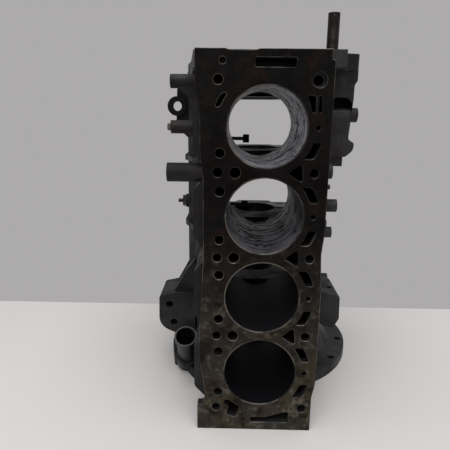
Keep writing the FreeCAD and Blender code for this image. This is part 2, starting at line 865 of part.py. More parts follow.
def timing_recess():
    """Pockets in the timing face, either side of the seal boss, with a rib left between them."""
    half = D.crankcase_half_width - 14
    outline = [
        (-half, D.rail_depth - 14, 6),
        (-half, -D.shoulder_end - 2, 12),
        (-52, -D.crankcase_roof - 22, 10),
        (52, -D.crankcase_roof - 22, 10),
        (half, -D.shoulder_end - 2, 12),
        (half, D.rail_depth - 14, 6),
    ]
    span = (TOP - D.end_recess_depth, TOP + OVER)
    pocket = prism("timing_pocket", "Z", outline, span)
    deep = (TOP - D.end_recess_depth - OVER, TOP + 2 * OVER)
    wall = D.register_half_width + 8
    kept = fuse("timing_kept", [
        rod("timing_seal_boss", "Z", (0, 0), deep, D.seal_boss),
        box("timing_cap_frame", (-wall, wall), (0, D.rail_depth), deep),
        box("timing_rib", (-4, 4), (-D.crankcase_roof - 30, 0), deep),
    ])
    return cut("timing_recess", pocket, kept)


def jet_seats():
    """Flat seats on the roof of each crank bay for the piston cooling jets."""
    seats = []
    for i, bore in enumerate(BORES):
        height = bore - D.jet_below_bore
        x = (-D.jet_seat_across - 10, -D.jet_seat_across + 10)
        seats.append(box(f"jet_seat_{i + 1}", x, (-D.crankcase_roof - 12, -D.jet_seat), (height - 10, height + 10)))
    return seats


# ---------------------------------------------------------------- drilled and cored holes


def deck_hole(name, x, z, depth, diameter):
    return rod(name, "Y", (x, z), (DECK - OVER, DECK + Size.of(depth)), diameter)


def head_bolt_holes():
    holes = []
    for i, web in enumerate(WEBS):
        for side, sign in (("left", -1), ("right", 1)):
            x = sign * D.head_bolt_offset
            holes.append(deck_hole(f"{side}_head_bolt_{i + 1}", x, web, D.head_bolt_depth, D.head_bolt_hole))
    return holes


def dowel_holes():
    return [
        deck_hole("head_dowel_hole", D.head_bolt_offset, WEBS[4], D.head_dowel_depth, D.head_dowel_hole),
        deck_hole("small_dowel_hole", -D.head_bolt_offset + 4.4, WEBS[4] + 18.5, 14, D.small_dowel_hole),
    ]


def water_ports():
    """Coolant ports through the deck on the left side and between the bores."""
    through = D.deck_thickness + OVER
    ports = []
    for i, web in enumerate(WEBS[1:4], start=1):
        ports.append(deck_hole(f"web_port_{i}", -D.web_port_offset, web, through, D.web_port))
        triangle = [
            (24, web - 0.5, 1.5),
            (38.5, web + 11.5, 2.5),
            (41, web - 11.5, 2.5),
        ]
        ports.append(prism(f"web_triangle_{i}", "Y", triangle, (DECK - OVER, DECK + through)))
    for i, bore in enumerate(BORES):
        for part, rise in (("lower", -D.side_port_rise), ("upper", D.side_port_rise)):
            if i == 3 and part == "upper":
                continue
            name = f"{part}_side_port_{i + 1}"
            ports.append(deck_hole(name, -D.side_port_offset, bore + rise, through, D.side_port))
        ports.append(deck_hole(f"steam_hole_{i + 1}", D.steam_hole_offset, bore, through, D.steam_hole))
    return ports


def band_point(radius, rise):
    return root(radius * radius - rise * rise)


def crescent(name, bore, side, lift, near, far, inner, outer):
    """A cored slot with broken corners that follows a cylinder between two heights off its axis."""
    middle = (near + far) / 2
    corner = D.slot_corner
    ring = [
        (inner + corner, near),
        (outer - corner, near),
        (outer, near + corner),
        (outer, middle),
        (outer, far - corner),
        (outer - corner, far),
        (inner + corner, far),
        (inner, far - corner),
        (inner, middle),
        (inner, near + corner),
    ]
    corners = [(side * band_point(radius, rise), bore + lift * rise) for radius, rise in ring]
    span = (DECK - OVER, DECK + D.deck_thickness + OVER)
    return prism(name, "Y", corners, span)


def coolant_slots():
    """Crescent slots on the right side and the one by the top left bolt."""
    slots = []
    near, far, inner, outer = D.slot_near, D.slot_far, D.slot_inner, D.slot_outer
    for i, bore in enumerate(BORES):
        slots.append(crescent(f"lower_slot_{i + 1}", bore, 1, -1, near, far, inner, outer))
        if i < 3:
            slots.append(crescent(f"upper_slot_{i + 1}", bore, 1, 1, near, far, inner, outer))
    last = BORES[3]
    slots.append(crescent("left_slot", last, -1, 1, near + 5, far + 2, inner + 3, outer - 1))
    inner_slot = [
        (46.5, last + 16, 1),
        (50, last + 15, 1),
        (50, last + 32, 2),
        (40, last + 34, 2),
    ]
    outer_slot = [
        (53, last + 15, 1),
        (57, last + 16, 2),
        (55.5, last + 32, 1.5),
        (52.4, last + 33, 1),
    ]
    span = (DECK - OVER, DECK + D.deck_thickness + OVER)
    slots.append(prism("split_slot_inner", "Y", inner_slot, span))
    slots.append(prism("split_slot_outer", "Y", outer_slot, span))
    return slots


def end_slots():
    """Cored slots beyond the first and last bores."""
    low = BORES[0]
    span = (DECK - OVER, DECK + D.end_slot_depth)
    bottom = [
        (-10, low - 68.5, 2),
        (37, low - 68.5, 3),
        (37, low - 54, 2),
        (32, low - 54),
        (9, low - 61.5),
        (-10, low - 62, 2),
    ]
    kite = [
        (-40, low - 58, 3),
        (-29, low - 62, 3),
        (-22.5, low - 48, 3),
        (-38, low - 38, 2),
        (-42.5, low - 38.5, 2),
        (-42, low - 44, 1),
        (-37, low - 48.5),
    ]
    return [
        prism("bottom_slot", "Y", bottom, span),
        prism("bottom_kite", "Y", kite, span),
        prism("top_slot", "Y", rectangle(-14.5, TOP - 18, 28.2, TOP - 8.5, 2), span),
    ]


def rectangle(x1, y1, x2, y2, rounding):
    return [(x1, y1, rounding), (x2, y1, rounding), (x2, y2, rounding), (x1, y2, rounding)]


def core_holes():
    holes = []
    for i, bore in enumerate(BORES[:3]):
        span = (-CASING - D.left_bulge_offset - OVER, -D.core_plug_seat + 2 + OVER)
        holes.append(rod(f"core_hole_{i + 1}", "X", (-D.core_back, bore), span, D.core_hole))
    return holes


def rail_holes():
    """Threaded holes for the sump bolts along both rails."""
    holes = []
    x = (D.crankcase_half_width + D.rail_half_width) / 2 - 0.5
    span = (D.rail_depth - D.rail_bolt_depth, D.rail_depth + OVER)
    for i in range(RAIL_BOLTS):
        z = D.rail_bolt_end + (TOP - 2 * D.rail_bolt_end) * i / (RAIL_BOLTS - 1)
        for side, sign in (("left", -1), ("right", 1)):
            holes.append(rod(f"{side}_rail_hole_{i + 1}", "Y", (sign * x, z), span, D.rail_bolt_hole))
    return holes


def flange_holes():
    """Gearbox bolt holes: three on the round rim and two on the straight left edge."""
    places = []
    for angle in (18, -8, -34):
        turn = math.radians(angle)
        places.append((D.flange_bolt_radius * round(math.cos(turn), 4), D.flange_bolt_radius * round(math.sin(turn), 4)))
    places += [(-D.flange_left + 11, 36), (-D.flange_left + 14, -78)]
    depth = D.flange_thickness + D.flange_rim / 2
    return [
        rod(f"flange_hole_{i}", "Z", place_on_flange, (-OVER, depth), D.flange_bolt_hole)
        for i, place_on_flange in enumerate(places, start=1)
    ]


def edge_chip():
    """Old shallow chip along the deck's edge at the timing end."""
    bitten = [
        (-46, TOP + OVER),
        (-43, TOP - 0.9),
        (-31, TOP - 1.7),
        (-14, TOP - 1.3),
        (-6, TOP + OVER),
    ]
    return prism("edge_chip", "Y", bitten, (DECK - OVER, DECK + 9))


def gallery_bores():
    across = (-D.gallery_across, -D.gallery_back)
    top = TOP - 3
    return fuse("gallery_drilling", [
        rod("gallery_bore", "Z", across, (-OVER, top + OVER), D.gallery_bore),
        rod("gallery_thread_low", "Z", across, (-OVER, D.gallery_plug_length + 1), D.gallery_plug_diameter),
        rod("gallery_thread_high", "Z", across, (top - D.gallery_plug_length - 1, top + OVER), D.gallery_plug_diameter),
    ])


def cap_bolt_holes():
    holes = []
    diameter = D.cap_bolt_diameter + D.thread_clearance
    for i, web in enumerate(WEBS):
        for side, sign in (("left", -1), ("right", 1)):
            across = (sign * D.cap_bolt_offset, web)
            span = (-D.cap_bolt_reach - 6, OVER)
            holes.append(rod(f"{side}_cap_thread_{i + 1}", "Y", across, span, diameter))
    return holes


def jet_holes():
    """Threads of the jet bolts in their seats."""
    holes = []
    for i, bore in enumerate(BORES):
        across = (-D.jet_seat_across, bore - D.jet_below_bore)
        span = (-D.jet_seat - D.jet_bolt_depth - 2, -D.jet_seat + OVER)
        holes.append(rod(f"jet_thread_{i + 1}", "Y", across, span, D.jet_bolt_diameter + D.thread_clearance))
    return holes


def boss_holes():
    """Threads in the side bosses, the eye and the socket of the guide pin."""
    pin_hole = D.guide_pin_diameter + D.thread_clearance
    sensor_hole = D.sensor_shank + D.thread_clearance
    stud_hole = D.stud_diameter + D.thread_clearance
    return [
        rod("eye_hole", "Y", (-119, BORES[3] + 23.5), (-44, -26), 13.8),
        rod("timing_boss_thread", "X", (DECK + 27, TOP - 31), (-106, -84), 6.8),
        rod("mount_boss_thread", "X", (DECK + 24, WEBS[3] - 3), (-111, -80), 12),
        rod("filter_thread_upper", "X", (DECK + 20, BORES[2] + 10), (70, 83), 6.8),
        rod("filter_thread_lower", "X", (DECK + 20, WEBS[2] + 27), (68, 79), 5),
        rod("guide_pin_hole", "Z", GUIDE_PIN, (TOP - D.guide_pin_depth, TOP + OVER), pin_hole),
        rod("sensor_hole", "X", SENSOR, (-D.sensor_reach - OVER, -D.sensor_reach + 14), sensor_hole),
        rod("side_stud_hole", "X", SIDE_STUD, (-D.side_boss_reach - OVER, -D.side_boss_reach + 14), stud_hole),
        rod("bracket_stud_hole", "X", BRACKET_STUD, (58, D.bracket_reach + OVER), stud_hole),
        rod("left_mount_thread", "Y", (-126, BORES[0] + 30), (DECK + 127, DECK + 152), 10.2),
        rod("left_mount_thread_low", "Y", (-120, BORES[0] + 2), (DECK + 127, DECK + 152), 10.2),
        rod("right_mount_thread", "Z", (96, DECK + 96), (BORES[0] + 55, BORES[0] + 78), 10.2),
        filler_rod("filler_hole", D.filler_socket_length - D.filler_engagement, 40, D.filler_across_tube),
    ]


def engine_block():
    outside = fuse("casting_outside", [
        deck_slab(), *casing_walls(), crankcase_shell(), sump_rail(), *wall_ribs(), gearbox_flange(),
        timing_end(), *pump_housing(), *left_bosses(), *eye_lug(), *left_mount(), *right_mount(),
        *right_bosses(), filler_socket(), gallery_boss(),
    ])
    cored = carve(outside, [
        *cylinder_bores(), *crank_bays(), water_jacket(), flywheel_recess(), skirt_hollow(), timing_recess(),
    ])
    hollow = fuse("casting_hollow", [cored, *jet_seats()])
    drillings = gather("drillings", [
        *head_bolt_holes(), *dowel_holes(), *water_ports(), *coolant_slots(), *end_slots(), *core_holes(),
        *rail_holes(), *flange_holes(), gallery_bores(), *cap_bolt_holes(), *jet_holes(), *boss_holes(), edge_chip(),
    ])
    return cut("engine_block", hollow, drillings)


# ---------------------------------------------------------------- pieces fitted to the casting


def plane_of(body, role):
    return next(item for item in body.Origin.OriginFeatures if item.Role == role)


def body_sketch(body, name, role, offset=None):
    sketch = body.newObject("Sketcher::SketchObject", name)
    sketch.AttachmentSupport = (plane_of(body, role), [""])
    sketch.MapMode = "FlatFace"
    if offset is not None:
        sketch.setExpression("AttachmentOffset.Base.z", Size.of(offset).formula)
    return sketch


def draw_circle(sketch, x, y, diameter):
    centre = FreeCAD.Vector(Size.of(x).value, Size.of(y).value, 0)
    radius = Size.of(diameter) / 2
    index = sketch.addGeometry(Part.Circle(centre, FreeCAD.Vector(0, 0, 1), radius.value), False)
    tie_point(sketch, index, 3, x, y)
    size = sketch.addConstraint(Sketcher.Constraint("Radius", index, radius.value))
    sketch.setExpression(f"Constraints[{size}]", radius.formula)


def both_ways(body, kind, name, sketch, length):
    """Pad or Pocket that goes equally to both sides of its sketch."""
    feature = body.newObject(f"PartDesign::{kind}", name)
    feature.Profile = sketch
    feature.SideType = "Symmetric"
    return bind(feature, Length=length)


def main_bearing_cap(number, web):
    """Bearing cap: an arch with a raised back between its two bolt shoulders."""
    name = f"main_bearing_cap_{number}"
    body = doc.addObject("PartDesign::Body", name)
    half = D.register_half_width - D.cap_side_clearance
    back = D.cap_bolt_offset - D.cap_bolt_head / 2 - D.cap_back_gap
    profile = body_sketch(body, name + "_profile", "XY_Plane")
    draw_outline(profile, [
        (-half, 0),
        (half, 0),
        (half, D.cap_bolt_seat),
        (back + 1, D.cap_bolt_seat, 3),
        (back - 3, D.cap_height, 5),
        (-back + 3, D.cap_height, 5),
        (-back - 1, D.cap_bolt_seat, 3),
        (-half, D.cap_bolt_seat),
    ])
    both_ways(body, "Pad", name + "_pad", profile, D.cap_thickness)
    arch = body_sketch(body, name + "_arch_line", "XY_Plane")
    draw_circle(arch, 0, 0, D.main_bore)
    both_ways(body, "Pocket", name + "_arch", arch, D.cap_thickness * 2)
    bolts = body_sketch(body, name + "_bolt_centres", "XZ_Plane")
    for sign in (-1, 1):
        draw_circle(bolts, sign * D.cap_bolt_offset, 0, D.cap_bolt_diameter + D.cap_bolt_clearance)
    both_ways(body, "Pocket", name + "_bolt_holes", bolts, D.cap_height * 2 + 4)
    return place(body, 0, 0, web)


def hexagon(name, axis, across, start, corners, height):
    """Six-sided bar; `corners` is its width over two corners."""
    bar = doc.addObject("Part::Prism", name)
    bar.Polygon = 6
    bind(bar, Circumradius=Size.of(corners) / 2, Height=height)
    return place(bar, *point_on(axis, across, start), turn=ROD_TURN[axis])


def main_cap_bolt(number, x, web):
    """Hexagon bolt that clamps a bearing cap."""
    name = f"main_cap_bolt_{number}"
    seat = D.cap_bolt_seat
    return fuse(name, [
        rod(name + "_shank", "Y", (x, web), (-D.cap_bolt_reach, seat + OVER), D.cap_bolt_diameter),
        hexagon(name + "_head", "Y", (x, web), seat, D.cap_bolt_head, D.cap_bolt_head_height),
    ])


def cooling_jet(number, bore):
    """Piston cooling jet: a drilled foot, a straight pipe and a nozzle aimed up the cylinder."""
    name = f"cooling_jet_{number}"
    height = bore - D.jet_below_bore
    middle = -D.jet_seat + D.jet_eye_height / 2
    reach = D.jet_eye / 2
    span = (-D.jet_seat, -D.jet_seat + D.jet_eye_height)
    foot = box(name + "_foot", (-D.jet_seat_across - reach, -D.jet_seat_across + reach), span, (height - reach, height + reach))
    pipe = rod(name + "_pipe", "X", (middle, height), (-D.jet_seat_across + reach - OVER, -D.jet_reach), D.jet_pipe)
    turn = FreeCAD.Rotation(AXES["X"], D.jet_aim.value)
    half = D.jet_head / 2
    lean = Size(math.sin(math.radians(D.jet_aim.value)), f"sin({D.jet_aim.formula} * 1 deg)")
    climb = Size(math.cos(math.radians(D.jet_aim.value)), f"cos({D.jet_aim.formula} * 1 deg)")
    elbow = doc.addObject("Part::Box", name + "_elbow")
    bind(elbow, Length=D.jet_head, Width=D.jet_head, Height=D.jet_head)
    corner = (middle - half * climb + half * lean, height - half * lean - half * climb)
    place(elbow, -D.jet_reach - half, *corner, turn=turn)
    nozzle = doc.addObject("Part::Cylinder", name + "_nozzle")
    bind(nozzle, Radius=D.jet_nozzle / 2, Height=D.jet_head + 3)
    place(nozzle, -D.jet_reach, middle, height, turn=turn)
    for thing in (elbow, nozzle):
        thing.setExpression("Placement.Rotation.Angle", D.jet_aim.formula)
    solid = fuse(name + "_solid", [foot, pipe, elbow, nozzle])
    span = (-D.jet_seat - OVER, -D.jet_seat + D.jet_eye_height + OVER)
    hole = rod(name + "_hole", "Y", (-D.jet_seat_across, height), span, D.jet_bolt_diameter + D.thread_clearance)
    return cut(name, solid, hole)


def jet_bolt(number, bore):
    name = f"jet_bolt_{number}"
    across = (-D.jet_seat_across, bore - D.jet_below_bore)
    under_head = -D.jet_seat + D.jet_eye_height
    return fuse(name, [
        rod(name + "_shank", "Y", across, (-D.jet_seat - D.jet_bolt_depth, under_head + OVER), D.jet_bolt_diameter),
        hexagon(name + "_head", "Y", across, under_head, D.jet_bolt_head, 5.5),
    ])


def core_plug(number, bore):
    """Steel disc swaged into its hole in the jacket wall."""
    across = (-D.core_back, bore)
    span = (-D.core_plug_seat - D.core_plug_sheet, -D.core_plug_seat)
    return rod(f"core_plug_{number}", "X", across, span, D.core_hole - D.core_plug_clearance * 2)


def gallery_plug(name, start, socket_start):
    """Threaded plug with a hexagon socket."""
    across = (-D.gallery_across, -D.gallery_back)
    barrel = rod(name + "_barrel", "Z", across, (start, start + D.gallery_plug_length), D.gallery_plug_diameter - D.thread_clearance)
    socket = hexagon(name + "_socket", "Z", across, socket_start, 9.2, 6 + OVER)
    return cut(name, barrel, socket)


def filler_tube():
    """Straight tube pressed into its socket, with a thicker rim round its open mouth."""
    base = D.filler_socket_length - D.filler_engagement
    length = D.filler_length - base
    bore = D.filler_across_tube - D.filler_wall * 2
    outside = fuse("filler_tube_outside", [
        filler_rod("filler_tube_body", base, length, D.filler_across_tube),
        filler_rod("filler_tube_rim", D.filler_length - D.filler_rim, D.filler_rim, D.filler_mouth),
    ])
    return cut("filler_tube", outside, filler_rod("filler_tube_inside", base - OVER, length + 2 * OVER, bore))


def guide_pin():
    """Steel pin pressed into the timing face."""
    span = (TOP - D.guide_pin_depth, TOP + D.guide_pin_stand)
    return rod("guide_pin", "Z", GUIDE_PIN, span, D.guide_pin_diameter)


def sensor_plug():
    reach = -D.sensor_reach
    return fuse("sensor_plug", [
        rod("sensor_plug_shank", "X", SENSOR, (reach - OVER, reach + 12), D.sensor_shank),
        hexagon("sensor_plug_head", "X", SENSOR, reach - D.sensor_head, D.sensor_hexagon, D.sensor_head),
    ])


def side_stud():
    reach = -D.side_boss_reach
    return rod("side_stud", "X", SIDE_STUD, (reach - D.stud_stand, reach + 12), D.stud_diameter)


def side_nut():
    face = -D.side_boss_reach
    bar = hexagon("side_nut_bar", "X", SIDE_STUD, face - D.nut_height, D.nut_hexagon, D.nut_height)
    span = (face - D.nut_height - OVER, face + OVER)
    return cut("side_nut", bar, rod("side_nut_bore", "X", SIDE_STUD, span, D.stud_diameter + D.thread_clearance))


def bracket_stud():
    return rod("bracket_stud", "X", BRACKET_STUD, (59, D.bracket_reach + 5), D.stud_diameter)


def fitted_pieces():
    pieces = []
    for i, web in enumerate(WEBS):
        pieces.append(main_bearing_cap(i + 1, web))
        pieces.append(main_cap_bolt(2 * i + 1, -D.cap_bolt_offset, web))
        pieces.append(main_cap_bolt(2 * i + 2, D.cap_bolt_offset, web))
    for i, bore in enumerate(BORES):
        pieces.append(cooling_jet(i + 1, bore))
        pieces.append(jet_bolt(i + 1, bore))
    pieces += [core_plug(i + 1, bore) for i, bore in enumerate(BORES[:3])]
    low, high = 1, TOP - 3 - D.gallery_plug_length - 1
    pieces.append(gallery_plug("gallery_plug_1", low, low - OVER))
    pieces.append(gallery_plug("gallery_plug_2", high, high + D.gallery_plug_length - 6))
    pieces += [filler_tube(), guide_pin(), sensor_plug(), side_stud(), side_nut(), bracket_stud()]
    return pieces


SUB_PARTS = [engine_block(), *fitted_pieces()]


def finish():
    """Recomputes, checks every object and writes one STEP file for each sub-part."""
    doc.recompute()
    for thing in doc.Objects:
        if "Invalid" in thing.State or "Error" in thing.State:
            raise RuntimeError(f"{thing.Label}: {thing.State}")
    os.makedirs("parts", exist_ok=True)
    for piece in SUB_PARTS:
        if piece.Shape.isNull() or not piece.Shape.isValid():
            raise RuntimeError(f"{piece.Label} has no valid shape")
        piece.Shape.exportStep(f"parts/{piece.Label}.step")
        print(piece.Label, len(piece.Shape.Solids), round(piece.Shape.Volume))


finish()
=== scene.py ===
"""Looks of the bare diesel engine block: cast skin, stained deck, honed bores, caps and small fittings."""
import json
import math

import bmesh
import bpy
from mathutils import Matrix, Vector


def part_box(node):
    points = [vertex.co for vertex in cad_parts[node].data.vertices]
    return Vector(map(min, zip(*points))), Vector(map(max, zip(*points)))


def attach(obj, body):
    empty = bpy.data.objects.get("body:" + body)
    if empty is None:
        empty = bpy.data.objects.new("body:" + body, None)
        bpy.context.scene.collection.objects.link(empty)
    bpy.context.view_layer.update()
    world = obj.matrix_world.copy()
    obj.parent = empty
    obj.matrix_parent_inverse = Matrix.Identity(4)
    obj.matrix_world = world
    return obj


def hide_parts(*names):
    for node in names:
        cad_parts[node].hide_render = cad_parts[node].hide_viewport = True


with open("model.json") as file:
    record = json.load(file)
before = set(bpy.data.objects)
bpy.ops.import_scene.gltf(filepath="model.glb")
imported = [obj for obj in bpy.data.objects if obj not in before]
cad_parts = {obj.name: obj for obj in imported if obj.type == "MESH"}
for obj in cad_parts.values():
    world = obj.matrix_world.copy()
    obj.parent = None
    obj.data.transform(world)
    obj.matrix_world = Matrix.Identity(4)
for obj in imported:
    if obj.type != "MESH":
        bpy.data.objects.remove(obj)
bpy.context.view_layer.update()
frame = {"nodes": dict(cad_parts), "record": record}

MM = 0.001
ROOT = "root"

# Sizes of the casting, in millimetres: y runs from the deck to the sump rail, z is up.
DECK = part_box("engine_block")[0].y / MM
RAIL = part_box("engine_block")[1].y / MM
BLOCK_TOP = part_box("engine_block")[1].z / MM
BORE_RADIUS = 42.5
MAIN_RADIUS = 32.0
# Heights of the cylinder axes, and of the webs between them.
BORES = sorted(
    mount["pos_m"][2] / MM
    for mount in frame["record"]["mounts"]
    if mount["name"].startswith("cylinder_bore")
)
WEBS = [(low + high) / 2 for low, high in zip(BORES, BORES[1:])]


# ---------------------------------------------------------------- nodes and patterns


def linear(hex_colour):
    """An sRGB hex colour as linear RGBA."""
    channels = [int(hex_colour[i:i + 2], 16) / 255 for i in (1, 3, 5)]
    out = [c / 12.92 if c <= 0.04045 else ((c + 0.055) / 1.055) ** 2.4 for c in channels]
    return (*out, 1.0)


def add(tree, kind, inputs=(), **settings):
    """Adds a node with its settings; `inputs` are values, hex colours or sockets, by name or in order."""
    node = tree.nodes.new(kind)
    for name, value in settings.items():
        setattr(node, name, value)
    ready = [socket for socket in node.inputs if socket.enabled]
    if isinstance(inputs, dict):
        named = {socket.name: socket for socket in ready}
        pairs = [(named[name], value) for name, value in inputs.items()]
    else:
        pairs = zip(ready, inputs)
    for socket, value in pairs:
        if isinstance(value, bpy.types.NodeSocket):
            tree.links.new(value, socket)
        else:
            socket.default_value = linear(value) if isinstance(value, str) else value
    return node


def new_material(name):
    """An empty material, its node tree, and the place on the piece that its patterns follow."""
    material = bpy.data.materials.new(name)
    material.use_nodes = True
    tree = material.node_tree
    tree.nodes.clear()
    return material, tree, add(tree, "ShaderNodeTexCoord").outputs["Object"]


def surface(material, inputs):
    """Closes a material with one shader."""
    tree = material.node_tree
    shader = add(tree, "ShaderNodeBsdfPrincipled", inputs)
    add(tree, "ShaderNodeOutputMaterial", {"Surface": shader.outputs["BSDF"]})
    return material


def blotches(tree, place, size_mm, detail=4.0, rough=0.6, low=0.4, high=0.6, reach=(0.0, 1.0)):
    """Soft patches about `size_mm` across, as a mask that runs over `reach`."""
    cloud = add(tree, "ShaderNodeTexNoise", {
        "Vector": place, "Scale": 1 / (size_mm * MM), "Detail": detail, "Roughness": rough})
    ramp = add(tree, "ShaderNodeMapRange", {
        "Value": cloud.outputs["Fac"], "From Min": low, "From Max": high,
        "To Min": reach[0], "To Max": reach[1]}, interpolation_type="SMOOTHSTEP")
    return ramp.outputs["Result"]


def fade_along(tree, place, low_mm, high_mm, axis="Z"):
    """A mask that is 0 at low_mm and 1 at high_mm along an axis of the block."""
    along = add(tree, "ShaderNodeSeparateXYZ", {"Vector": place}).outputs[axis]
    ramp = add(tree, "ShaderNodeMapRange", {
        "Value": along, "From Min": low_mm * MM, "From Max": high_mm * MM})
    return ramp.outputs["Result"]


def weaken(tree, mask, guide, low, high):
    """A mask times `low` where the guide is 0 and times `high` where it is 1."""
    weight = add(tree, "ShaderNodeMapRange", {"Value": guide, "To Min": low, "To Max": high})
    return add(tree, "ShaderNodeMath", (mask, weight.outputs["Result"]), operation="MULTIPLY").outputs[0]


def stain(tree, base, colour, mask, strength=1.0):
    """Lays a colour over a base colour where the mask is, at most as strongly as `strength`."""
    cover = add(tree, "ShaderNodeMapRange", {"Value": mask, "To Max": strength}).outputs["Result"]
    return add(tree, "ShaderNodeMix", {"Factor": cover, "A": base, "B": colour}, data_type="RGBA").outputs[2]


def grain(tree, place, layers, under=None):
    """Bumps of (grain size in mm, depth in mm, strength), one over the other, on an earlier normal."""
    normal = under
    for size_mm, depth_mm, strength in layers:
        cloud = add(tree, "ShaderNodeTexNoise", {
            "Vector": place, "Scale": 1 / (size_mm * MM), "Detail": 3.0, "Roughness": 0.6})
        relief = {"Height": cloud.outputs["Fac"], "Distance": depth_mm * MM, "Strength": strength}
        if normal is not None:
            relief["Normal"] = normal
        normal = add(tree, "ShaderNodeBump", relief).outputs["Normal"]
    return normal


# ---------------------------------------------------------------- materials


def sand_cast_iron():
    """Sand-cast grey iron under old oil: near black, satin, with the lumpy skin that the mould leaves."""
    material, tree, place = new_material("sand_cast_iron")
    # Pale dust lies thickest on the right side and towards the foot, over the oiled near-black skin. Its
    # strength across the block is painted light: the right side is drawn paler and the left darker, as
    # painted shade.
    right = fade_along(tree, place, -60, 70, "X")
    foot = fade_along(tree, place, 170, 90)
    paler_right_and_foot = add(tree, "ShaderNodeMath", (right, foot), operation="MAXIMUM").outputs[0]
    dust_and_painted_light = weaken(tree, blotches(tree, place, 55, detail=5.0, low=0.3), paler_right_and_foot, 0.1, 1.0)
    base = stain(tree, "#0b0a0b", "#2c2b2b", dust_and_painted_light)
    brown = blotches(tree, place, 26, detail=5.0, low=0.48, high=0.7)
    base = stain(tree, base, "#1e1611", brown, 0.55)
    # The pale specks are also strongest on the right side, as painted light.
    specks = weaken(tree, blotches(tree, place, 4, low=0.6, high=0.72), paler_right_and_foot, 0.1, 0.4)
    base = stain(tree, base, "#45403a", specks)
    # The shading rounds the cast corners. Mould sand is about 0.3 mm: its grain is drawn at 1.2 mm
    # so that the skin shows, over a slower waviness.
    corners = add(tree, "ShaderNodeBevel", {"Radius": 2.2 * MM}, samples=4).outputs["Normal"]
    return surface(material, {
        "Base Color": base,
        "Specular IOR Level": 0.22,
        "Roughness": blotches(tree, place, 30, reach=(0.42, 0.66)),
        "Normal": grain(tree, place, [(7.0, 0.6, 0.5), (1.2, 0.2, 0.6)], corners),
    })


def stained_deck_iron():
    """Milled grey iron, browned by oil and light rust: darkest at the timing end, paler at the foot."""
    material, tree, place = new_material("stained_deck_iron")
    up = fade_along(tree, place, 15, 260)
    base = stain(tree, "#35302b", "#080707", up)
    olive = weaken(tree, blotches(tree, place, 42, low=0.42, high=0.62), up, 0.75, 0.02)
    base = stain(tree, base, "#3b3526", olive)
    rust = weaken(tree, blotches(tree, place, 16, detail=6.0, low=0.5, high=0.66), up, 0.55, 0.8)
    base = stain(tree, base, "#1a0e0a", rust)
    pale = weaken(tree, blotches(tree, place, 11, detail=7.0, low=0.5, high=0.68), up, 0.8, 0.01)
    base = stain(tree, base, "#5f5a52", pale)
    dark = blotches(tree, place, 24, detail=6.0, low=0.5, high=0.66)
    base = stain(tree, base, "#0e0c0b", dark, 0.7)
    # Heat has stained the web between the two cylinders at the timing end.
    below = fade_along(tree, place, WEBS[-1] - 40, WEBS[-1] - 12)
    above = fade_along(tree, place, WEBS[-1] + 34, WEBS[-1] + 8)
    scorch = add(tree, "ShaderNodeMath", (below, above), operation="MULTIPLY").outputs[0]
    base = stain(tree, base, "#070303", scorch, 0.9)
    # Milling marks are under 0.3 mm apart: drawn as a grain of 0.9 mm so that they show.
    return surface(material, {
        "Base Color": base,
        "Specular IOR Level": 0.08,
        "Roughness": blotches(tree, place, 12, reach=(0.55, 0.85)),
        "Normal": grain(tree, place, [(2.4, 0.12, 0.5), (0.9, 0.08, 0.4)]),
    })


# Hone marks slant by this many degrees, both ways. They are about 0.05 mm apart: drawn 1.65 mm apart
# so that they show. The wave texture has 20 radians to a unit of its scale.
HONE_SLANT = 32
HONE_SPACING = 1.6535
HONE_SCALE = math.tau / (20 * HONE_SPACING * MM)


